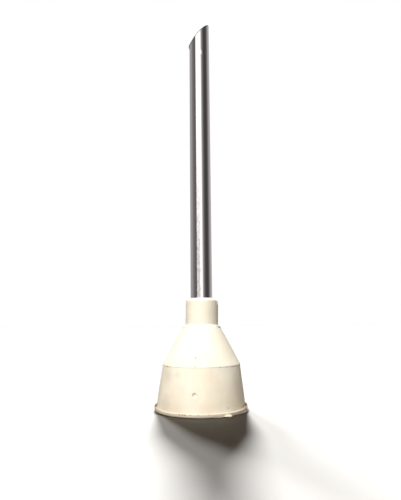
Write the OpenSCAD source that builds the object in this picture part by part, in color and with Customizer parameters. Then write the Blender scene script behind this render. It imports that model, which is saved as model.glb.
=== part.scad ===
// Saliva ejector tip: a bevelled steel suction tube held in a moulded rubber adaptor.
// +Z runs up the tube. The origin is the middle of the adaptor's rim, which the tip stands on.
// The tube turns in the adaptor's neck, so that the bevelled mouth can face any way.

/* [Suction tube] */
// Outside diameter of the tube
tube_od = 8; // [7:0.5:9]
// Wall thickness of the tube
tube_wall = 0.5; // [0.4:0.1:0.8]
// Height of the tip's point above the rim
tip_z = 151; // [110:0.5:200]
// Slope of the bevelled mouth, in degrees from level
bevel_angle = 49; // [30:1:60]
// Side that the bevel's point is on, in degrees about the tube from +X
bevel_turn = 0; // [0:5:355]
// Height that the retaining bead stands out of the tube
bead_rise = 0.35; // [0.25:0.05:0.5]

/* [Adaptor, outside] */
// Diameter over the rim's lip
lip_od = 33; // [32.5:0.5:36]
// Thickness of the lip
lip_h = 1.4; // [1:0.1:2]
// Diameter of the skirt where it meets the lip
skirt_od = 31.2; // [30:0.2:31.2]
// Diameter at the shoulder
shoulder_od = 27.8; // [27.4:0.1:28.6]
// Height of the shoulder, where the skirt ends and the cone begins
shoulder_z = 15.5; // [15:0.5:20]
// Diameter at the top of the cone
cone_top_od = 13.2; // [12.8:0.2:14]
// Height of the top of the cone, where the neck begins
neck_z = 28.8; // [28:0.2:31]
// Diameter of the neck
neck_od = 11.9; // [11.5:0.1:12.5]
// Height of the top of the neck
neck_top_z = 39.3; // [38:0.1:44]

/* [Adaptor, inside] */
// Diameter of the socket that pushes onto the suction hose's spigot
socket_d = 25; // [24:0.5:26]
// Widening of the socket's mouth on each side
lead_in = 0.8; // [0.4:0.1:1]
// Thickness of the cone's wall
cone_wall = 2; // [1.6:0.1:2.4]
// Height of the underside of the web that the tube stops at
web_z = 24.5; // [24:0.1:25]
// Thickness of the web
web_h = 2; // [1.5:0.1:2.5]
// Clearance round the tube in the neck, on each side
turn_gap = 0.04; // [0.02:0.01:0.08]

/* [Hidden] */

$fn = 96;
clear = 1;                                  // cutters run this far past what they cut
tube_r = tube_od / 2;
bore_r = tube_r - tube_wall;
tube_foot_z = web_z + web_h + 0.1;          // the bead carries the tube, just clear of the web
bead_r = 0.6;                               // the bead's own rounding
bead_z = tube_foot_z + 1.2;

lip_r = lip_od / 2;
skirt_r = skirt_od / 2;
shoulder_r = shoulder_od / 2;
cone_top_r = cone_top_od / 2;
neck_r = neck_od / 2;
neck_round = 1.3;                           // on the neck's top edge
neck_fillet = min(0.5, cone_top_r - neck_r);  // in the corner between the neck and the cone
neck_bore_r = tube_r + turn_gap;
bore_chamfer = 0.4;                         // at the top of the neck's bore

socket_r = socket_d / 2;
cone_slope = (cone_top_r - shoulder_r) / (neck_z - shoulder_z);
cone_wall_across = cone_wall * sqrt(1 + cone_slope * cone_slope);

// Height at which the inside of the cone has a radius, and the radius that it has at a height
function cone_inner_z(r) = shoulder_z + (r + cone_wall_across - shoulder_r) / cone_slope;
function cone_inner_r(z) = shoulder_r + cone_slope * (z - shoulder_z) - cone_wall_across;

// The ring of the bead at the tube's foot, or the groove that holds it
module bead_section(grow) {
    translate([tube_r + bead_rise - bead_r, bead_z]) circle(bead_r + grow, $fn = 32);
}

// A square corner's waste, for rounding an outer corner or filling an inner one
module corner_waste(r) {
    difference() {
        square(r);
        circle(r, $fn = 48);
    }
}

module tube_section() {
    difference() {
        union() {
            translate([bore_r, tube_foot_z]) square([tube_wall, tip_z + clear - tube_foot_z]);
            bead_section(0);
        }
        translate([-clear, 0]) square([bore_r + clear, tip_z + 2 * clear]);
    }
}

// Everything above the bevel's plane, which passes through the tip's point
module bevel_waste() {
    rotate([0, 0, bevel_turn])
        translate([tube_r, 0, tip_z])
            rotate([0, -bevel_angle, 0])
                translate([-3 * tube_od, -tube_od, 0])
                    cube([4 * tube_od, 2 * tube_od, 3 * tube_od]);
}

module suction_tube() {
    color("silver")
        difference() {
            rotate_extrude() tube_section();
            bevel_waste();
        }
}

module adaptor_outline() {
    difference() {
        union() {
            polygon([
                [0, 0], [lip_r - lip_h / 2, 0], [lip_r - lip_h / 2, lip_h], [skirt_r, lip_h],
                [shoulder_r, shoulder_z], [cone_top_r, neck_z], [neck_r, neck_z],
                [neck_r, neck_top_z], [0, neck_top_z]
            ]);
            translate([lip_r - lip_h / 2, lip_h / 2]) circle(lip_h / 2, $fn = 48);
            translate([neck_r + neck_fillet, neck_z + neck_fillet])
                rotate(180) corner_waste(neck_fillet);
        }
        translate([neck_r - neck_round, neck_top_z - neck_round]) corner_waste(neck_round);
    }
}

module adaptor_hollow() {
    web_top_z = web_z + web_h;
    polygon([
        [-clear, -clear], [socket_r + lead_in, -clear], [socket_r + lead_in, 0],
        [socket_r, lead_in], [socket_r, cone_inner_z(socket_r)], [cone_inner_r(web_z), web_z],
        [bore_r, web_z], [bore_r, web_top_z], [neck_bore_r, web_top_z],
        [neck_bore_r, neck_top_z - bore_chamfer], [neck_bore_r + bore_chamfer, neck_top_z],
        [neck_bore_r + bore_chamfer, neck_top_z + clear], [-clear, neck_top_z + clear]
    ]);
    bead_section(turn_gap);
}

module rubber_adaptor() {
    color("ivory")
        rotate_extrude()
            difference() {
                adaptor_outline();
                adaptor_hollow();
            }
}

suction_tube();
rubber_adaptor();
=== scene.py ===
import bpy
import math
from mathutils import Matrix, Vector


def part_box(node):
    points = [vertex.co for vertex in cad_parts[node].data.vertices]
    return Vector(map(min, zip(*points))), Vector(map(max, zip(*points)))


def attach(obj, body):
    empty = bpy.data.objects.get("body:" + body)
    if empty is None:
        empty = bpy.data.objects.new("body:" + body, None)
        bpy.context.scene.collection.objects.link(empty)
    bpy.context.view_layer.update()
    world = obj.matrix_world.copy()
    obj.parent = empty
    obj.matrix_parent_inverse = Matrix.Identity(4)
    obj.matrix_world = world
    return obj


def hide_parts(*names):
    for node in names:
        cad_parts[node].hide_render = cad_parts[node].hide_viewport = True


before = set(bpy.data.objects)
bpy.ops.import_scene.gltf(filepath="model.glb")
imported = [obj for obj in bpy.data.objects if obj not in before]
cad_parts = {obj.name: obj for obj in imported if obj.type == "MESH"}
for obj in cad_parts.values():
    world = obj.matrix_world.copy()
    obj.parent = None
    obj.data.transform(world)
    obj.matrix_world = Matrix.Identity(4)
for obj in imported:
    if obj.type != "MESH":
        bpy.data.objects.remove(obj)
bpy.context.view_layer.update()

mm = 0.001
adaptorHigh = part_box("rubber_adaptor")[1]
tubeLow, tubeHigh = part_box("suction_tube")


def cadRadius(node, height, inside=False):
    # how far from the axis the wall of a CAD node is, where a level plane cuts it
    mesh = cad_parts[node].data
    found = []
    for edge in mesh.edges:
        a, b = (mesh.vertices[i].co for i in edge.vertices)
        if (a.z - height) * (b.z - height) < 0:
            cut = a.lerp(b, (height - a.z) / (b.z - a.z))
            found.append(math.hypot(cut.x, cut.y))
    return min(found) if inside else max(found)


def spotOn(node, turn, height):
    # a place on a CAD node's outside: degrees round from the front towards +X, and height
    reach = cadRadius(node, height)
    return (reach * math.sin(math.radians(turn)), -reach * math.cos(math.radians(turn)), height)


# nodes

class Wire:
    # a socket that can be used in sums; every sum adds its Math node to the same tree
    def __init__(self, tree, socket):
        self.tree = tree
        self.socket = socket

    def math(self, operation, other=0.0):
        return addNode(self.tree, "ShaderNodeMath", {"operation": operation}, {0: self, 1: other})

    def mathFrom(self, operation, other):
        return addNode(self.tree, "ShaderNodeMath", {"operation": operation}, {0: other, 1: self})

    def clamped(self):
        return addNode(self.tree, "ShaderNodeClamp", None, {"Value": self})

    def __add__(self, other):
        return self.math("ADD", other)

    def __radd__(self, other):
        return self.mathFrom("ADD", other)

    def __sub__(self, other):
        return self.math("SUBTRACT", other)

    def __rsub__(self, other):
        return self.mathFrom("SUBTRACT", other)

    def __mul__(self, other):
        return self.math("MULTIPLY", other)

    def __rmul__(self, other):
        return self.mathFrom("MULTIPLY", other)

    def __truediv__(self, other):
        return self.math("DIVIDE", other)


def addNode(tree, kind, settings=None, inputs=None, out=0):
    # any node: its settings first, then the values or wires of its sockets
    node = tree.nodes.new(kind)
    for name, value in (settings or {}).items():
        if name == "stops":
            ramp = node.color_ramp.elements
            while len(ramp) < len(value):
                ramp.new(0.5)
            for element, (place, colour) in zip(ramp, value):
                element.position = place
                element.color = (*colour, 1.0)
        else:
            setattr(node, name, value)
    for name, value in (inputs or {}).items():
        if isinstance(value, Wire):
            tree.links.new(value.socket, node.inputs[name])
        else:
            node.inputs[name].default_value = value
    return Wire(tree, node.outputs[out])


def blendColour(amount, a, b):
    a, b = (c if isinstance(c, Wire) else (*c, 1.0) for c in (a, b))
    return addNode(amount.tree, "ShaderNodeMix", {"data_type": "RGBA"}, {0: amount, 6: a, 7: b}, out=2)


def smoothStep(value, low, high):
    # 0 below low, 1 above high, and an easy slope between; it falls where low is above high
    inputs = {0: value, 1: low, 2: high, 3: 0.0, 4: 1.0}
    return addNode(value.tree, "ShaderNodeMapRange", {"interpolation_type": "SMOOTHSTEP"}, inputs)


def between(value, ends, fades):
    # 1 between two ends, fading out over a distance at each
    low, high = ends
    lowFade, highFade = fades
    rising = smoothStep(value, low - lowFade, low + lowFade)
    return rising * (1 - smoothStep(value, high - highFade, high + highFade))


def noiseAt(place, scale, detail=2.0, roughness=0.5):
    inputs = {"Vector": place, "Scale": scale, "Detail": detail, "Roughness": roughness}
    return addNode(place.tree, "ShaderNodeTexNoise", None, inputs)


def drawnOut(place, share):
    # the same place with its heights shrunk, so that a pattern there is drawn out upwards
    return addNode(place.tree, "ShaderNodeMapping", None, {"Vector": place, "Scale": (1.0, 1.0, share)})


def distance(place, spot):
    settings = {"operation": "DISTANCE"}
    return addNode(place.tree, "ShaderNodeVectorMath", settings, {0: place, 1: spot}, out="Value")


def splitUp(vector):
    first = addNode(vector.tree, "ShaderNodeSeparateXYZ", None, {0: vector})
    return [Wire(vector.tree, socket) for socket in first.socket.node.outputs]


def degreesRound(x, y):
    # degrees round from the front towards +X
    return x.math("ARCTAN2", 0 - y) * (180 / math.pi)


# materials

def newMaterial(name):
    # gives the material, its shader, its Object coordinates and a way to read the mesh's attributes
    material = bpy.data.materials.new(name)
    material.use_nodes = True
    tree = material.node_tree
    place = addNode(tree, "ShaderNodeTexCoord", None, None, out="Object")

    def painted(label):
        return addNode(tree, "ShaderNodeAttribute", {"attribute_name": label}, None, out="Fac")

    return material, tree.nodes["Principled BSDF"], place, painted


def bumpOf(height, strength, depth):
    inputs = {"Strength": strength, "Distance": depth, "Height": height}
    return addNode(height.tree, "ShaderNodeBump", None, inputs)


def setShader(shader, **values):
    # constants go straight on the shader's own sockets, and what varies is linked
    for name, value in values.items():
        socket = shader.inputs[name.replace("_", " ")]
        if isinstance(value, Wire):
            value.tree.links.new(value.socket, socket)
        else:
            socket.default_value = value


# rubber

rubberLook = {
    "cream": (0.885, 0.84, 0.715),
    "tan": (0.80, 0.70, 0.54),
    "grime": (0.20, 0.16, 0.11),
    "stainAndShade": (0.60, 0.50, 0.38),
    # the lip's colour is painted shade: darker than the cream, for the shade on its front and to dim the
    # light on its top
    "lip": (0.66, 0.595, 0.49),
    "blotchSize": 110.0,
    "streakSize": 286.0,
    "streakShare": 0.35,              # how much of its height a streak's pattern keeps
    "speckSize": 900.0,
    "grainSize": 3150.0,
    "breakSize": 330.0,               # gaps in the dirt and painted shade of the creases
    "tanAmount": 0.6,
    "tanOnCone": 0.35,                # what is left of the tan above the skirt
    "tanFade": (22 * mm, 12 * mm),
    "footShadeAmount": 0.28,               # painted shade: the skirt darkens towards its foot
    "footShadeFade": (13 * mm, 1 * mm),
    "grimeAndShadeAmount": 0.5,
    "roughness": 0.46,
    "bumpStrength": 0.22,
    "bumpDepth": 0.06 * mm,
    "glow": 0.12,                     # light that goes into the rubber and comes out again
    "glowColour": (1.0, 0.7, 0.4),
    "glowReach": 1.2 * mm,
    # handling stains, and on the right side painted shade too, where the rubber is turned from the light:
    # degrees round from the front towards +X, height and width in millimetres, strength
    "stainsAndShade": [
        (-54.0, 12.5, 10.0, 0.45),
        (-36.0, 13.0, 4.0, 0.25),
        (60.0, 8.0, 15.0, 0.50),
        (74.0, 13.0, 9.0, 0.45),
        (-75.0, 32.0, 7.0, 0.30),
        (70.0, 33.0, 11.0, 0.20),
        (150.0, 9.0, 12.0, 0.40),
        (-140.0, 6.0, 9.0, 0.35),
        (-52.0, 0.8, 14.0, 0.55),
        (-30.0, 0.8, 10.0, 0.35),
    ],
}


def makeRubber(look):
    material, shader, place, painted = newMaterial("ivoryRubber")
    z = splitUp(place)[2]
    blotches = noiseAt(place, look["blotchSize"], detail=3.0, roughness=0.55)
    streaks = noiseAt(drawnOut(place, look["streakShare"]), look["streakSize"], detail=4.0)
    specks = noiseAt(place, look["speckSize"], detail=3.0, roughness=0.6)
    grain = noiseAt(place, look["grainSize"])

    aged = smoothStep(0.65 * blotches + 0.35 * streaks, 0.40, 0.64)
    onSkirt = smoothStep(z, *look["tanFade"])
    tanned = aged * (look["tanOnCone"] + (1 - look["tanOnCone"]) * onSkirt) * look["tanAmount"]
    colour = blendColour(tanned, look["cream"], look["tan"])
    # painted shade: the lip is coloured darker, for the shade on its front and to dim the light on its top
    lipShade = painted("lip")
    colour = blendColour(lipShade * (0.75 + 0.5 * blotches), colour, look["lip"])
    # painted shade: darker towards the skirt's foot
    foot = smoothStep(z, *look["footShadeFade"]) * (1 - lipShade)
    colour = blendColour(look["footShadeAmount"] * foot, colour, look["stainAndShade"])
    # handling stains, with painted shade on the right side
    for turn, height, width, strength in look["stainsAndShade"]:
        reach = 0.5 * width * mm
        away = distance(place, spotOn("rubber_adaptor", turn, height * mm))
        patch = 1 - smoothStep(away + (streaks - 0.5) * 1.2 * reach, 0, reach)
        colour = blendColour(strength * patch, colour, look["stainAndShade"])

    # dirt and painted shade: darker in the creases, in the marks, and along the lip's raised edge and
    # gutter at its ends
    breaks = smoothStep(noiseAt(place, look["breakSize"], detail=3.0, roughness=0.65), 0.52, 0.68)
    dirt = (painted("grime") * breaks + painted("dirt")) * (0.5 + specks)
    colour = blendColour((look["grimeAndShadeAmount"] * dirt).clamped(), colour, look["grime"])
    rough = look["roughness"] + 0.16 * specks + 0.12 * dirt
    bump = bumpOf(0.6 * specks + 0.4 * grain, look["bumpStrength"], look["bumpDepth"])
    setShader(shader, Base_Color=colour, Roughness=rough, Normal=bump, IOR=1.5,
              Subsurface_Weight=look["glow"], Subsurface_Radius=look["glowColour"],
              Subsurface_Scale=look["glowReach"])
    return material


# steel

steelLook = {
    "bright": (0.745, 0.68, 0.68),
    "dull": (0.36, 0.34, 0.34),
    # near black, for a dark speck and for the painted shade along the mouth's cut edge
    "speckAndEdgeShade": (0.09, 0.08, 0.08),
    # patterns: size, and how much of its height each keeps
    "polishLines": (1500.0, 0.012),
    "waves": (260.0, 0.22),
    "mottle": (1300.0, 0.45),
    "rubs": (2600.0, 0.6),
    "mottleAmount": 0.2,              # over the whole tube, outside the worn strip
    "wornTurn": (-24.0, -3.0),        # a dull strip, degrees round from the front
    "wornFades": (3.0, 4.0),
    "wornHeights": (118 * mm, 41.3 * mm),
    "rubbedTurn": (-17.0, -8.0),      # a rubbed line low down, above the bell's neck
    "rubbedFades": (2.0, 2.0),
    "rubbedHeights": (66 * mm, 43.56 * mm),
    "rubbedAmount": 0.9,
    "speck": (78.0, 75 * mm),         # a dark speck, degrees round from the front and height
    "speckWidth": 1.1 * mm,
    "dent": (22.0, 137 * mm),
    "dentReach": 1.5 * mm,
    "dentDepth": -10.0,
    "roughness": 0.10,
    "bumpStrength": 0.16,
    "bumpDepth": 0.05 * mm,
}


def makeSteel(look):
    material, shader, place, painted = newMaterial("polishedSteel")
    x, y, z = splitUp(place)
    turn = degreesRound(x, y)

    def pattern(name, **finer):
        size, share = look[name]
        return noiseAt(drawnOut(place, share), size, **finer)

    lines = pattern("polishLines")
    waves = pattern("waves")
    mottle = pattern("mottle", detail=3.0, roughness=0.65)
    worn = between(turn, look["wornTurn"], look["wornFades"]) * smoothStep(z, *look["wornHeights"])
    dull = worn * (0.5 + 0.5 * smoothStep(mottle, 0.38, 0.62))
    dull = dull + look["mottleAmount"] * smoothStep(mottle, 0.6, 0.75)
    rubbed = between(turn, look["rubbedTurn"], look["rubbedFades"]) * smoothStep(z, *look["rubbedHeights"])
    rubs = smoothStep(pattern("rubs"), 0.42, 0.56)
    dull = (dull + look["rubbedAmount"] * rubbed * rubs).clamped()
    colour = blendColour(dull, look["bright"], look["dull"])

    fromSpeck = distance(place, spotOn("suction_tube", *look["speck"]))
    speck = 1 - smoothStep(fromSpeck, 0.2 * look["speckWidth"], 0.5 * look["speckWidth"])
    colour = blendColour(speck, colour, look["speckAndEdgeShade"])
    # painted shade: the band round the mouth's cut edge is coloured near black, and the burr at the heel
    # dark too
    tubeRadius = cadRadius("suction_tube", look["speck"][1])
    heel = smoothStep(0 - x, 0.925 * tubeRadius, 0.9875 * tubeRadius)
    cut = (painted("cut") + smoothStep(painted("flare"), 0.1, 0.5) * heel).clamped()
    colour = blendColour(cut, colour, look["speckAndEdgeShade"])

    rough = look["roughness"] + 0.08 * dull + 0.3 * cut
    dent = smoothStep(distance(place, spotOn("suction_tube", *look["dent"])), 0, look["dentReach"])
    height = 0.25 * lines + 0.6 * waves + 0.15 * mottle + look["dentDepth"] * dent
    bump = bumpOf(height, look["bumpStrength"], look["bumpDepth"])
    setShader(shader, Base_Color=colour, Roughness=rough, Normal=bump, Metallic=1.0)
    return material


# geometry node trees

socketKinds = {
    float: "NodeSocketFloat",
    int: "NodeSocketInt",
    bpy.types.Object: "NodeSocketObject",
    bpy.types.Material: "NodeSocketMaterial",
}


def newTree(name, values):
    # a geometry tree with an input named for each value;
    # gives the tree, a way to read its inputs, and its ending
    tree = bpy.data.node_groups.new(name, "GeometryNodeTree")
    tree.interface.new_socket("Geometry", in_out="INPUT", socket_type="NodeSocketGeometry")
    for label, value in values.items():
        tree.interface.new_socket(label, in_out="INPUT", socket_type=socketKinds[type(value)])
    tree.interface.new_socket("Geometry", in_out="OUTPUT", socket_type="NodeSocketGeometry")
    entry = tree.nodes.new("NodeGroupInput")

    def given(label):
        return Wire(tree, entry.outputs[label])

    def finish(geometry):
        whole = addNode(tree, "GeometryNodeRealizeInstances", None, {0: geometry})
        smooth = addNode(tree, "GeometryNodeSetShadeSmooth", None, {"Geometry": whole})
        done = addNode(tree, "GeometryNodeSetMaterial", None,
                       {"Geometry": smooth, "Material": given("Material")})
        tree.links.new(done.socket, tree.nodes.new("NodeGroupOutput").inputs[0])

    return tree, given, finish


def runTree(piece, tree, values):
    # sets the modifier's inputs by identifier, then keeps the result as a plain mesh
    modifier = piece.modifiers.new(tree.name, "NODES")
    modifier.node_group = tree
    for item in tree.interface.items_tree:
        if item.in_out == "INPUT" and item.name in values:
            modifier[item.identifier] = values[item.name]
    graph = bpy.context.evaluated_depsgraph_get()
    plain = bpy.data.meshes.new_from_object(piece.evaluated_get(graph))
    piece.modifiers.remove(modifier)
    old = piece.data
    piece.data = plain
    bpy.data.meshes.remove(old)
    plain.name = piece.name


def sweep(tree, given):
    # carries the host's flat outline round the axis; also gives the place and the named attributes there
    outline = addNode(tree, "GeometryNodeMeshToCurve", None, {0: given("Geometry")})
    circle = addNode(tree, "GeometryNodeCurvePrimitiveCircle", None,
                     {"Resolution": given("Segments"), "Radius": given("Path Radius")})
    swept = addNode(tree, "GeometryNodeCurveToMesh", None, {"Curve": circle, "Profile Curve": outline})

    def named(label):
        return addNode(tree, "GeometryNodeInputNamedAttribute", {"data_type": "FLOAT"}, {"Name": label})

    return swept, addNode(tree, "GeometryNodeInputPosition"), named


def moveBy(geometry, offset):
    return addNode(geometry.tree, "GeometryNodeSetPosition", None, {"Geometry": geometry, "Offset": offset})


def addPiece(name, mesh):
    piece = bpy.data.objects.new(name, mesh)
    bpy.context.scene.collection.objects.link(piece)
    return piece


def addAttribute(mesh, label, values):
    mesh.attributes.new(label, "FLOAT", "POINT").data.foreach_set("value", values)


def closedLoop(name, corners, columns):
    # a closed line of edges in the XY plane, with named values at its corners
    mesh = bpy.data.meshes.new(name)
    edges = [(i, (i + 1) % len(corners)) for i in range(len(corners))]
    mesh.from_pydata([(x, y, 0.0) for x, y in corners], edges, [])
    for label, values in columns.items():
        addAttribute(mesh, label, values)
    return mesh


def outlineMesh(name, points, pathRadius, labels):
    # a closed outline of (radius, height, value for each label), laid flat for sweeping round a circle
    corners = [(p[0] - pathRadius, -p[1]) for p in points]
    columns = {label: [p[i] for p in points] for i, label in enumerate(labels, 2)}
    return closedLoop(name, corners, columns)


def arcAt(before, here, after, rounding, step):
    # points of an arc that rounds off the corner at here, or the corner itself where it is nearly straight
    toBefore = before - here
    toAfter = after - here
    turn = toBefore.angle(toAfter)
    if rounding <= 0 or turn > math.pi - 0.01:
        return [here]
    run = min(rounding / math.tan(turn / 2), 0.8 * toBefore.length, 0.8 * toAfter.length)
    radius = run * math.tan(turn / 2)
    inward = (toBefore.normalized() + toAfter.normalized()).normalized()
    middle = here + inward * radius / math.sin(turn / 2)
    start = here + toBefore.normalized() * run - middle
    swing = (math.pi - turn) * (1 if toBefore.cross(toAfter) < 0 else -1)
    count = max(2, math.ceil(abs(swing) * radius / (0.5 * step)), math.ceil(abs(swing) / 0.3))
    return [middle + Matrix.Rotation(swing * k / count, 2) @ start for k in range(count + 1)]


def roundedOutline(corners, step):
    # straight stretches between corners, with an arc at each corner that has a rounding.
    # A corner is (radius, height, rounding, skin), and step is the longest gap left on outer skin.
    places = [Vector(corner[:2]) for corner in corners]
    points = []
    for i, corner in enumerate(corners):
        rounding, skin = corner[2:]
        after = places[(i + 1) % len(places)]
        for spot in arcAt(places[i - 1], places[i], after, rounding, step):
            points.append((spot.x, spot.y, skin))
    filled = []
    for i, (r, z, skin) in enumerate(points):
        nextR, nextZ, nextSkin = points[(i + 1) % len(points)]
        gap = math.hypot(nextR - r, nextZ - z)
        limit = step if skin > 0.5 and nextSkin > 0.5 else 5 * step
        pieces = max(1, math.ceil(gap / limit))
        for k in range(pieces):
            t = k / pieces
            filled.append((r + (nextR - r) * t, z + (nextZ - z) * t, skin + (nextSkin - skin) * t))
    return filled


# adaptor

bell = {
    "shoulderHeight": 15.5 * mm,
    "neckFoot": 28.8 * mm,
    "webUnderside": 24.5 * mm,
    "tubeStop": 26.5 * mm,
    "socketTop": 14 * mm,
    "groove": (27.1 * mm, 27.5 * mm, 28.1 * mm, 28.5 * mm),    # for the tube's bead, foot to top
    "grooveGap": 0.05 * mm,
    # heights at which the CAD's walls are measured
    "measuredAt": {
        "neck": 34 * mm,
        "coneTop": 28.5 * mm,
        "shoulder": 15.52 * mm,
        "skirt": 1.7 * mm,
        "passage": 25.5 * mm,
        "socket": 7 * mm,
        "web": 24.3 * mm,
        "mouth": 0.05 * mm,
    },
    "lipHeight": 1.3 * mm,
    "lipRadius": adaptorHigh.x - 0.05 * mm,
    "lipDraft": 0.14 * mm,            # how much smaller the lip is at its foot
    "gutterWidth": 0.75 * mm,         # a shallow channel between the skirt and the lip's edge
    "gutterDepth": 0.25 * mm,
    "neckRounding": 1.3 * mm,
    "neckWorn": 0.25 * mm,            # how far the neck's top has worn down
    "footRise": 0.5 * mm,             # the fillet at the neck's foot starts this high
    "footFillet": 0.9 * mm,
    "shoulderRounding": 0.9 * mm,
    "creaseDrop": 0.12 * mm,
    "creaseDepth": 0.015 * mm,
    "creaseShadeReach": 0.3 * mm,           # how far the painted shade and dirt spread from a crease
    "pathRadius": 8 * mm,
    "step": 0.28 * mm,
    "segments": 360,
    "lumpHeight": 0.10 * mm,
    "lumpSize": 120.0,
    "rippleHeight": 0.025 * mm,
    "rippleSize": 420.0,
    "raggedSize": 620.0,
    "finHeight": 0.55 * mm,           # the lip's edge is raised at the left and the right
    "finRagged": 0.25 * mm,
    "gutterDrop": 0.35 * mm,
    "sides": (12 * mm, 16.5 * mm),    # from where to where it rises, out along X
    "ends": (15.6 * mm, 16.4 * mm),   # the outermost part, where its edge is painted with shade
    "leanPerLength": 0.02,
    "leanCentre": 26 * mm,
    "shadowArcWidths": (1.65 * mm, 1.8 * mm),     # marks wider than this are painted dark on one side only, as the shadow inside the dent
    "shadowArcFade": (-0.1 * mm, 0.6 * mm),
    "flatWidths": (2.3 * mm, 3.0 * mm),     # marks wider than this have no raised rim
    # dents and pits: degrees round from the front towards +X, height, width and depth in millimetres,
    # and how dark they are inside, from dirt and from painted shade
    "marks": [
        (-8.4, 6.85, 1.8, 0.22, 1.0),
        (35.6, 2.4, 0.9, 0.20, 0.9),
        (-9.0, 18.5, 0.9, 0.15, 2.5),
        # in the crease at the neck's foot: painted shade, with some dirt
        (55.0, 28.75, 1.0, 0.05, 1.5),
        (63.0, 28.7, 1.5, 0.05, 2.5),
        (71.0, 28.6, 1.6, 0.05, 3.5),
        (79.0, 28.6, 1.6, 0.05, 3.5),
        (-70.0, 28.7, 1.2, 0.05, 2.0),
        (-83.0, 28.6, 1.3, 0.05, 3.0),
        # along the crease under the shoulder: painted shade, with some dirt
        (82.0, 15.4, 1.0, 0.05, 2.0),
        (-66.0, 15.4, 0.9, 0.04, 1.2),
        (-58.0, 15.4, 0.8, 0.04, 1.0),
        (-50.0, 15.4, 0.8, 0.04, 0.9),
        (-9.0, 15.9, 1.0, 0.04, 1.2),
        (27.0, 15.4, 0.8, 0.03, 1.0),
        (38.0, 15.3, 0.7, 0.03, 1.0),
        (49.0, 15.3, 0.6, 0.03, 0.9),
        (-26.0, 11.5, 0.9, 0.08, 0.0),
        (78.0, 38.8, 5.0, 0.55, 0.0),
        (-62.0, 38.7, 0.9, 0.06, 0.9),
        (-72.0, 38.7, 0.9, 0.06, 1.1),
        (-25.0, 1.15, 1.0, 0.08, 2.4),
        (-21.5, 1.1, 0.9, 0.10, 3.4),
        (-18.5, 1.1, 0.9, 0.10, 3.0),
        (-12.0, 1.15, 0.8, 0.08, 2.0),
        (-3.0, 1.15, 0.7, 0.08, 1.7),
        (9.0, 1.15, 0.7, 0.06, 1.4),
        # no depth: painted shade in the slot between the skirt and the lip's raised edge, at the right and
        # the left
        (63.0, 1.85, 1.2, 0.0, 1.5),
        (69.0, 1.9, 1.3, 0.0, 3.0),
        (75.0, 2.0, 1.3, 0.0, 3.0),
        (-78.0, 2.2, 1.2, 0.0, 2.5),
        (-86.0, 2.5, 1.2, 0.0, 2.5),
        (118.0, 8.5, 1.2, 0.20, 0.4),
        (205.0, 12.0, 1.0, 0.16, 0.4),
        (-120.0, 5.5, 1.3, 0.20, 0.4),
        (160.0, 21.0, 0.9, 0.14, 0.5),
    ],
}


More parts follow.
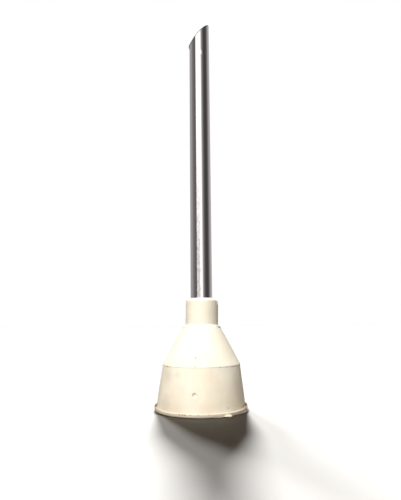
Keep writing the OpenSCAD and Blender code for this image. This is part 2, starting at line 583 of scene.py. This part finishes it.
def bellOutline(size):
    # the moulding's section: down the outside from the neck's top, round the rim, and up the inside
    def wall(part, inside=False):
        return cadRadius("rubber_adaptor", size["measuredAt"][part], inside)

    neckTop = adaptorHigh.z - size["neckWorn"]
    neckFoot = size["neckFoot"]
    neck, coneTop, shoulder, skirt = wall("neck"), wall("coneTop"), wall("shoulder"), wall("skirt")
    bore, passage, socket = wall("neck", True), wall("passage", True), wall("socket", True)
    web, mouth = wall("web", True), wall("mouth", True)
    shoulderHeight = size["shoulderHeight"]
    creaseHeight = shoulderHeight - size["creaseDrop"]
    lip, lipTop = size["lipRadius"], size["lipHeight"]
    gutter = lip - size["gutterWidth"]
    gutterFloor = lipTop - size["gutterDepth"]
    grooveFoot, grooveLow, grooveHigh, grooveTop = size["groove"]
    groove = tubeHigh.x + size["grooveGap"]
    corners = [
        (bore + 0.4 * mm, neckTop, 0.15 * mm, 0),
        (neck, neckTop, size["neckRounding"], 1),
        (neck, neckFoot + size["footRise"], size["footFillet"], 1),
        (coneTop - 0.05 * mm, neckFoot - 0.02 * mm, 0.15 * mm, 1),          # ledge round the neck's foot
        (coneTop + 0.15 * mm, neckFoot - 0.35 * mm, 0.3 * mm, 1),
        (shoulder - 0.02 * mm, shoulderHeight + 0.3 * mm, size["shoulderRounding"], 1),
        (shoulder + 0.03 * mm, shoulderHeight, 0.08 * mm, 1),
        (shoulder - size["creaseDepth"], creaseHeight, 0.05 * mm, 1),
        (shoulder + 0.02 * mm, shoulderHeight - 0.4 * mm, 0.2 * mm, 1),
        (skirt - 0.25 * mm, 4.5 * mm, 8 * mm, 1),                           # the skirt bows in slightly
        (skirt + 0.05 * mm, gutterFloor + 0.6 * mm, 0.8 * mm, 1),
        (gutter, gutterFloor, 0.35 * mm, 1),
        (lip - 0.4 * mm, gutterFloor + 0.03 * mm, 0.10 * mm, 1),
        (lip - 0.32 * mm, lipTop, 0.08 * mm, 1),
        (lip, lipTop, 0.20 * mm, 1),
        (lip - size["lipDraft"], 0, 0.6 * mm, 1),
        (mouth, 0, 0.3 * mm, 0),
        (socket, 0.8 * mm, 0.3 * mm, 0),
        (socket, size["socketTop"], 0.5 * mm, 0),
        (web, size["webUnderside"], 0.5 * mm, 0),
        (passage, size["webUnderside"], 0.2 * mm, 0),
        (passage, size["tubeStop"], 0, 0),
        (bore, size["tubeStop"], 0, 0),
        (bore, grooveFoot, 0, 0),
        (groove, grooveLow, 0, 0),
        (groove, grooveHigh, 0, 0),
        (bore, grooveTop, 0, 0),
        (bore, neckTop - 0.4 * mm, 0, 0),
    ]

    def nearness(r, z, spot, reach):
        return max(0.0, 1 - math.hypot(r - spot[0], z - spot[1]) / reach)

    points = []
    for r, z, skin in roundedOutline(corners, size["step"]):
        # painted shade, with some dirt, near the creases at the neck's foot and under the shoulder
        grime = max(nearness(r, z, crease, size["creaseShadeReach"])
                    for crease in ((coneTop, neckFoot), (shoulder, creaseHeight)))
        inGutter = nearness(r, z, (lip - 0.45 * mm, gutterFloor), 0.45 * mm)
        fin = nearness(r, z, (lip - 0.16 * mm, lipTop), 0.3 * mm)
        # the lip, which is painted in its shade colour
        lipShade = min(1.0, max(0.0, (r - gutter + 0.1 * mm) / (0.3 * mm)))
        points.append((r, z, skin, grime, inGutter, fin, lipShade))
    return points


def marksMesh(marks):
    # one loose point for each mark, with its width, its depth and its dirt
    mesh = bpy.data.meshes.new("marks")
    mesh.from_pydata([spotOn("rubber_adaptor", mark[0], mark[1] * mm) for mark in marks], [], [])
    addAttribute(mesh, "width", [mark[2] * mm for mark in marks])
    addAttribute(mesh, "depth", [mark[3] * mm for mark in marks])
    addAttribute(mesh, "dirtiness", [mark[4] for mark in marks])
    return mesh


def bellTree(values):
    tree, given, finish = newTree("mouldedBell", values)
    swept, place, named = sweep(tree, given)
    normal = addNode(tree, "GeometryNodeInputNormal")
    x, y, z = splitUp(place)
    skin = named("skin")
    lumps = noiseAt(place, given("Lump Size"), detail=1.0) - 0.5
    ripples = noiseAt(place, given("Ripple Size")) - 0.5
    rise = skin * (lumps * given("Lump Height") * 2 + ripples * given("Ripple Height") * 2)

    # each point of the bell looks up the mark that is nearest to it
    markPoints = addNode(tree, "GeometryNodeObjectInfo", None, {"Object": given("Marks")}, out="Geometry")
    nearest = addNode(tree, "GeometryNodeSampleNearest", {"domain": "POINT"}, {"Geometry": markPoints})

    def ofMark(kind, value):
        settings = {"data_type": kind, "domain": "POINT"}
        return addNode(tree, "GeometryNodeSampleIndex", settings,
                       {"Geometry": markPoints, "Value": value, "Index": nearest})

    centre = ofMark("FLOAT_VECTOR", place)
    width = ofMark("FLOAT", named("width"))
    depth = ofMark("FLOAT", named("depth")) * skin
    reach = distance(place, centre) / (width * 0.5)
    bowl = 1 - smoothStep(reach, 0.35, 1.0)
    rim = smoothStep(reach, 0.8, 1.1) * (1 - smoothStep(reach, 1.15, 1.6))
    rim = rim * (1 - smoothStep(width, given("Flat From"), given("Flat To")))
    rise = rise - depth * bowl + depth * rim * 0.25

    # small marks are dark all over; a wide one only along its upper left rim, painted as the shadow inside
    # the dent
    away = addNode(tree, "ShaderNodeVectorMath", {"operation": "SUBTRACT"}, {0: place, 1: centre})
    fromX, fromY, fromZ = splitUp(away)
    upperLeft = smoothStep(fromZ - fromX, given("Fade From"), given("Fade To"))
    arc = smoothStep(reach, 0.3, 0.6) * (1 - smoothStep(reach, 0.75, 1.1)) * upperLeft
    wide = smoothStep(width, given("Wide From"), given("Wide To"))
    darkPatch = (1 - smoothStep(reach, 0.2, 0.9)) * (1 - wide) + arc * wide
    dirt = darkPatch * ofMark("FLOAT", named("dirtiness")) * skin

    # the lip's edge rises, and its gutter drops, towards the left and the right
    out = x.math("ABSOLUTE")
    sideways = smoothStep(out, given("Sides From"), given("Sides To"))
    farOut = smoothStep(out, given("Ends From"), given("Ends To"))
    ragged = noiseAt(place, given("Ragged Size"), detail=3.0, roughness=0.6) - 0.5
    # painted shade in the gutter and on the raised edge towards the left and the right
    edges = 2.0 * named("gutter") * sideways + 3.0 * named("fin") * farOut
    dirt = dirt + edges * smoothStep(ragged, -0.25, 0.0)
    fin = named("fin") * (given("Fin Height") * sideways + given("Fin Ragged") * ragged)
    fin = fin - named("gutter") * sideways * given("Gutter Drop")

    # the dirt and painted shade are kept before anything moves, because places are read again after each
    # move
    withDarkening = addNode(tree, "GeometryNodeStoreNamedAttribute", {"data_type": "FLOAT", "domain": "POINT"},
                    {"Geometry": swept, "Name": "dirt", "Value": dirt})
    offset = addNode(tree, "ShaderNodeVectorMath", {"operation": "SCALE"}, {0: normal, "Scale": rise})
    shaped = moveBy(withDarkening, offset)
    lean = (z - given("Lean Centre")) * given("Lean") * skin
    leaning = addNode(tree, "ShaderNodeCombineXYZ", None, {"X": lean, "Z": fin})
    finish(moveBy(shaped, leaning))
    return tree


def makeBell(size, material):
    labels = ("skin", "grime", "gutter", "fin", "lip")
    outline = outlineMesh("rubberBell", bellOutline(size), size["pathRadius"], labels)
    piece = addPiece("rubberBell", outline)
    marks = addPiece("marks", marksMesh(size["marks"]))
    values = {
        "Marks": marks, "Path Radius": size["pathRadius"], "Segments": size["segments"],
        "Lump Height": size["lumpHeight"], "Lump Size": size["lumpSize"],
        "Ripple Height": size["rippleHeight"], "Ripple Size": size["rippleSize"],
        "Flat From": size["flatWidths"][0], "Flat To": size["flatWidths"][1],
        "Wide From": size["shadowArcWidths"][0], "Wide To": size["shadowArcWidths"][1],
        "Fade From": size["shadowArcFade"][0], "Fade To": size["shadowArcFade"][1],
        "Sides From": size["sides"][0], "Sides To": size["sides"][1],
        "Ends From": size["ends"][0], "Ends To": size["ends"][1],
        "Fin Height": size["finHeight"], "Fin Ragged": size["finRagged"],
        "Gutter Drop": size["gutterDrop"], "Ragged Size": size["raggedSize"],
        "Lean": size["leanPerLength"], "Lean Centre": size["leanCentre"], "Material": material,
    }
    runTree(piece, bellTree(values), values)
    bpy.data.objects.remove(marks)
    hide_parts("rubber_adaptor")
    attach(piece, "adaptor")
    print("bell made:", len(piece.data.polygons), "faces")
    return piece


# moulding flash: the thin ragged fin of rubber left where the mould closed, round the lip

flash = {
    "height": 0.30 * mm,
    "radius": adaptorHigh.x - 0.35 * mm,
    "reach": 0.14 * mm,
    "ragged": 0.2 * mm,
    "thinnest": 0.05 * mm,
    "wander": 0.5 * mm,               # how far it strays up and down
    "wanderSize": 240.0,
    "coarseSize": 380.0,
    "fineSize": 1700.0,
    "tabStart": 25.0,                 # a torn tab, degrees round from the front
    "tabFull": 30.0,
    "tabBreak": 32.1,
    "tabEnd": 32.5,
    "tabReach": 1.7 * mm,
    "tabLift": 0.6,
    "segments": 1080,
    # the fin's section for a reach of one millimetre
    "section": [(-0.3, -0.28), (0.6, -0.22), (1.0, -0.10), (1.0, 0.08), (0.6, 0.18), (-0.3, 0.28)],
}


def flashTree(values):
    tree, given, finish = newTree("mouldFlash", values)
    circle = addNode(tree, "GeometryNodeCurvePrimitiveCircle", None,
                     {"Resolution": given("Segments"), "Radius": given("Radius")})
    place = addNode(tree, "GeometryNodeInputPosition")
    x, y, z = splitUp(place)
    turn = degreesRound(x, y)
    coarse = smoothStep(noiseAt(place, given("Coarse Size")), 0.38, 0.62)
    fine = noiseAt(place, given("Fine Size"))
    width = given("Reach") * (0.15 + 1.2 * coarse) + given("Ragged") * (fine - 0.5)
    growing = addNode(tree, "ShaderNodeMapRange", None,
                      {0: turn, 1: given("Tab Start"), 2: given("Tab Full")})
    tab = growing * (1 - smoothStep(turn, given("Tab Break"), given("Tab End")))
    width = width.math("MAXIMUM", given("Thinnest")) + given("Tab Reach") * tab
    stray = (noiseAt(place, given("Wander Size"), detail=1.0) - 0.5) * (1 - tab) * given("Wander")
    lift = stray + given("Height") * (1 + given("Tab Lift") * tab)
    rise = addNode(tree, "ShaderNodeCombineXYZ", None, {"Z": lift})
    scale = width * 1000                  # the section is drawn for a reach of a millimetre
    sized = addNode(tree, "GeometryNodeSetCurveRadius", None,
                    {"Curve": moveBy(circle, rise), "Radius": scale})
    profile = addNode(tree, "GeometryNodeMeshToCurve", None, {0: given("Geometry")})
    swept = addNode(tree, "GeometryNodeCurveToMesh", None,
                    {"Curve": sized, "Profile Curve": profile, "Scale": scale})
    finish(swept)
    return tree


def makeFlash(size, material):
    section = [(a * mm, b * mm) for a, b in size["section"]]
    # the flash is painted in the lip's shade colour
    piece = addPiece("mouldFlash", closedLoop("mouldFlash", section, {"lip": [1.0] * len(section)}))
    values = {
        "Radius": size["radius"], "Height": size["height"], "Reach": size["reach"],
        "Ragged": size["ragged"], "Thinnest": size["thinnest"],
        "Coarse Size": size["coarseSize"], "Fine Size": size["fineSize"],
        "Wander": size["wander"], "Wander Size": size["wanderSize"],
        "Tab Start": size["tabStart"], "Tab Full": size["tabFull"], "Tab Break": size["tabBreak"],
        "Tab End": size["tabEnd"], "Tab Reach": size["tabReach"], "Tab Lift": size["tabLift"],
        "Segments": size["segments"], "Material": material,
    }
    runTree(piece, flashTree(values), values)
    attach(piece, "adaptor")
    print("flash made:", len(piece.data.polygons), "faces")
    return piece


# suction tube

tubeSize = {
    "measuredAt": 60 * mm,            # a height at which the CAD's wall is measured
    "edgeRounding": 0.12 * mm,
    "edgeShadeBand": 0.34 * mm,             # the edge band at the mouth, painted dark as shade
    "burrLength": 0.9 * mm,
    "burrReach": 0.35 * mm,
    "burrDrop": 0.7,
    "burrHeel": 0.75,                 # the burr starts at this share of the radius, on the low side
    "nickHeight": 0.08 * mm,
    "nickSize": 900.0,
    "bevelFoot": 25 * mm,             # below the top, the part that is drawn down to the slant
    "bevelTop": 1 * mm,
    "beadHeight": 27.8 * mm,
    "pathRadius": 3 * mm,
    "segments": 160,
    "step": 1.0 * mm,
}


def tubeOutline(size, outer, inner):
    foot, top = tubeLow.z, tubeHigh.z
    edge, bead = size["edgeRounding"], size["beadHeight"]
    band, burr = size["edgeShadeBand"], size["burrLength"]
    corners = [
        (inner, top, 0.4 * edge, 1),
        (outer, top, edge, 1),
        (outer, top - band, 0, 1),
        (outer, top - band - 0.1 * mm, 0, 1),
        (outer, top - 0.5 * burr, 0, 1),
        (outer, top - burr, 0, 1),
        (outer, bead + 0.75 * mm, 0.2 * mm, 1),
        (tubeHigh.x, bead + 0.2 * mm, 0.25 * mm, 1),
        (tubeHigh.x, bead - 0.2 * mm, 0.25 * mm, 1),
        (outer, bead - 0.65 * mm, 0.1 * mm, 1),
        (outer, foot, edge, 1),
        (inner, foot, 0.4 * edge, 1),
    ]
    points = []
    for r, z, skin in roundedOutline(corners, size["step"]):
        below = top - z
        # the band at the mouth that is painted dark as shade
        cut = 1.0 if below < band + 0.01 * mm else 0.0
        points.append((r, z, cut, max(0.0, 1 - below / burr)))
    return points


def tubeTree(values):
    # sweeps the wall's section round, then draws its top down to the slanted mouth
    tree, given, finish = newTree("bevelledTube", values)
    swept, place, named = sweep(tree, given)
    x, y, z = splitUp(place)
    belowPoint = (given("Radius") - x) * given("Slope")
    nicks = (noiseAt(place, given("Nick Size")) - 0.5) * given("Nick Height")
    share = addNode(tree, "ShaderNodeMapRange", None, {0: z, 1: given("Bevel Foot"), 2: given("Bevel Top")})
    heel = smoothStep(0 - x, given("Burr Heel") * given("Radius"), given("Radius"))
    burr = named("flare") * heel * given("Burr Reach")
    down = (0 - (belowPoint + nicks)) * share - given("Burr Drop") * burr
    finish(moveBy(swept, addNode(tree, "ShaderNodeCombineXYZ", None, {"X": 0 - burr, "Z": down})))
    return tree


def makeTube(size, material):
    outer = cadRadius("suction_tube", size["measuredAt"])
    inner = cadRadius("suction_tube", size["measuredAt"], inside=True)
    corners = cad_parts["suction_tube"].data.vertices
    lowSide = max(v.co.z for v in corners if v.co.x < -0.98 * outer)
    section = tubeOutline(size, outer, inner)
    outline = outlineMesh("steelTube", section, size["pathRadius"], ("cut", "flare"))
    piece = addPiece("steelTube", outline)
    values = {
        "Path Radius": size["pathRadius"], "Segments": size["segments"], "Radius": outer,
        "Slope": (tubeHigh.z - lowSide) / (2 * outer), "Bevel Foot": tubeHigh.z - size["bevelFoot"],
        "Bevel Top": tubeHigh.z - size["bevelTop"], "Nick Height": size["nickHeight"],
        "Nick Size": size["nickSize"], "Burr Reach": size["burrReach"], "Burr Drop": size["burrDrop"],
        "Burr Heel": size["burrHeel"], "Material": material,
    }
    runTree(piece, tubeTree(values), values)
    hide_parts("suction_tube")
    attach(piece, "tube")
    print("tube made:", len(piece.data.polygons), "faces")
    return piece


# studio

studio = {
    "floorSize": 8.0,
    "floorColour": (0.33, 0.325, 0.315),
    "floorShade": 0.97,
    "cloudSize": 18.0,
    "aimHeight": 40 * mm,             # all lamps face this place above the floor
    "lampDistance": 0.5,
    # suns: degrees round from the front towards +X, degrees up, strength, softness in degrees and colour
    "floorSuns": {
        "keyBehind": (-178, 24, 21.0, 10, (1.0, 1.0, 1.0)),
        "sideBehind": (-163, 24, 5.0, 9, (1.0, 1.0, 1.0)),
    },
    "pieceSuns": {
        "leftSoft": (-130, 28, 0.45, 30, (1.0, 1.0, 1.0)),
        "rightSoft": (115, 20, 0.50, 30, (0.92, 0.97, 1.0)),
        "backSoft": (176, 35, 2.2, 30, (1.0, 1.0, 1.0)),
    },
    "frontTop": (-15, 44, 4.55, 0.35, (1.0, 0.985, 0.96)),     # a soft box: its fourth value is its width
    "ambient": (0.085, 0.06, 0.038),
    "overhead": 0.12,                 # brightness of the dark flag above the object
    "overheadFrom": (0.76, 0.88),
    # what the steel mirrors: degrees round from the front towards +X, and how bright the room is there
    "room": [
        (-180, 1.1), (-170, 1.0), (-163, 0.35), (-150, 0.42), (-124, 0.48), (-103, 0.38), (-86, 0.23),
        (-71, 0.185), (-55, 0.125), (-46, 0.20), (-42, 1.7), (10, 1.7), (17, 0.75), (25, 0.40), (38, 0.16),
        (51, 0.08), (65, 0.065), (80, 0.08), (90, 0.14), (97, 0.23), (114, 0.44), (140, 0.60), (152, 0.45),
        (160, 0.30), (168, 0.9), (180, 1.1),
    ],
}


def makeFloor(size):
    mesh = bpy.data.meshes.new("floor")
    half = size["floorSize"] / 2
    corners = [(-half, -half, 0), (half, -half, 0), (half, half, 0), (-half, half, 0)]
    mesh.from_pydata(corners, [], [(0, 1, 2, 3)])
    floor = addPiece("floor", mesh)
    material, shader, place, painted = newMaterial("paleTop")
    cloud = noiseAt(place, size["cloudSize"], detail=3.0)
    shaded = tuple(size["floorShade"] * c for c in size["floorColour"])
    colour = blendColour(cloud, size["floorColour"], shaded)
    setShader(shader, Base_Color=colour, Roughness=0.8, Specular_IOR_Level=0.2)
    mesh.materials.append(material)
    # the floor only catches shadows: the pieces neither mirror it nor take light from it
    floor.visible_glossy = False
    floor.visible_diffuse = False
    return floor


def addLamp(size, light, turn, rise, power, colour, onlyOn):
    # hangs a lamp out at degrees round and degrees up from the object, facing it, to light some pieces only
    light.energy = power
    light.color = colour
    lamp = bpy.data.objects.new(light.name, light)
    bpy.context.scene.collection.objects.link(lamp)
    around, up = math.radians(turn), math.radians(rise)
    way = Vector((math.cos(up) * math.sin(around), -math.cos(up) * math.cos(around), math.sin(up)))
    lamp.location = Vector((0, 0, size["aimHeight"])) + way * size["lampDistance"]
    lamp.rotation_euler = (-way).to_track_quat("-Z", "Y").to_euler()
    lamp.visible_glossy = False
    lit = bpy.data.collections.new(light.name + "Lit")
    for piece in onlyOn:
        lit.objects.link(piece)
    lamp.light_linking.receiver_collection = lit


def makeWorld(size):
    # a white room with soft boxes and dark flags, which the steel mirrors as lengthwise bands
    world = bpy.data.worlds.new("studio")
    bpy.context.scene.world = world
    world.use_nodes = True
    tree = world.node_tree
    way = addNode(tree, "ShaderNodeTexCoord", None, None, out="Generated")
    x, y, z = splitUp(way)
    brightest = max(tone for degrees, tone in size["room"])
    stops = [(degrees / 360 + 0.5, [tone / brightest] * 3) for degrees, tone in size["room"]]
    band = addNode(tree, "ShaderNodeValToRGB", {"stops": stops}, {"Fac": degreesRound(x, y) / 360 + 0.5})
    room = addNode(tree, "ShaderNodeVectorMath", {"operation": "SCALE"}, {0: band, "Scale": brightest})
    room = blendColour(smoothStep(z, *size["overheadFrom"]), room, [size["overhead"]] * 3)
    seen = addNode(tree, "ShaderNodeLightPath", None, None, out="Is Camera Ray")
    mirrored = addNode(tree, "ShaderNodeLightPath", None, None, out="Is Glossy Ray")
    light = blendColour(mirrored, size["ambient"], room)
    light = blendColour(seen, light, (1.0, 1.0, 1.0))
    tree.links.new(light.socket, tree.nodes["Background"].inputs["Color"])


def makeStudio(size, pieces):
    floor = makeFloor(size)
    makeWorld(size)
    for suns, onlyOn in ((size["floorSuns"], [floor]), (size["pieceSuns"], pieces)):
        for name, (turn, rise, strength, softness, colour) in suns.items():
            sun = bpy.data.lights.new(name, "SUN")
            sun.angle = math.radians(softness)
            addLamp(size, sun, turn, rise, strength, colour, onlyOn)
    turn, rise, energy, width, colour = size["frontTop"]
    box = bpy.data.lights.new("frontTop", "AREA")
    box.shape = "DISK"
    box.size = width
    addLamp(size, box, turn, rise, energy, colour, pieces)
    print("studio made")


# camera

shot = {
    "distance": 160.6 * mm,
    "height": 29.5 * mm,
    "tiltUp": 9.81,
    "turnRight": -0.065,
    "roll": -0.50,
    "lens": 31.1,
    "sensor": 36,
    "nearest": 5 * mm,
}


def makeCamera(size):
    data = bpy.data.cameras.new("camera")
    data.sensor_width = size["sensor"]
    data.lens = size["lens"]
    data.clip_start = size["nearest"]
    camera = bpy.data.objects.new("camera", data)
    bpy.context.scene.collection.objects.link(camera)
    turn = Matrix.Rotation(math.radians(-size["turnRight"]), 4, "Z")
    tilt = Matrix.Rotation(math.radians(90 + size["tiltUp"]), 4, "X")
    roll = Matrix.Rotation(math.radians(size["roll"]), 4, "Z")
    camera.matrix_world = Matrix.Translation((0, -size["distance"], size["height"])) @ turn @ tilt @ roll
    bpy.context.scene.camera = camera
    print("camera placed")


makeCamera(shot)
rubber = makeRubber(rubberLook)
steel = makeSteel(steelLook)
bellPiece = makeBell(bell, rubber)
flashPiece = makeFlash(flash, rubber)
tubePiece = makeTube(tubeSize, steel)
makeStudio(studio, [bellPiece, flashPiece, tubePiece])
bpy.context.scene.view_settings.view_transform = "Standard"
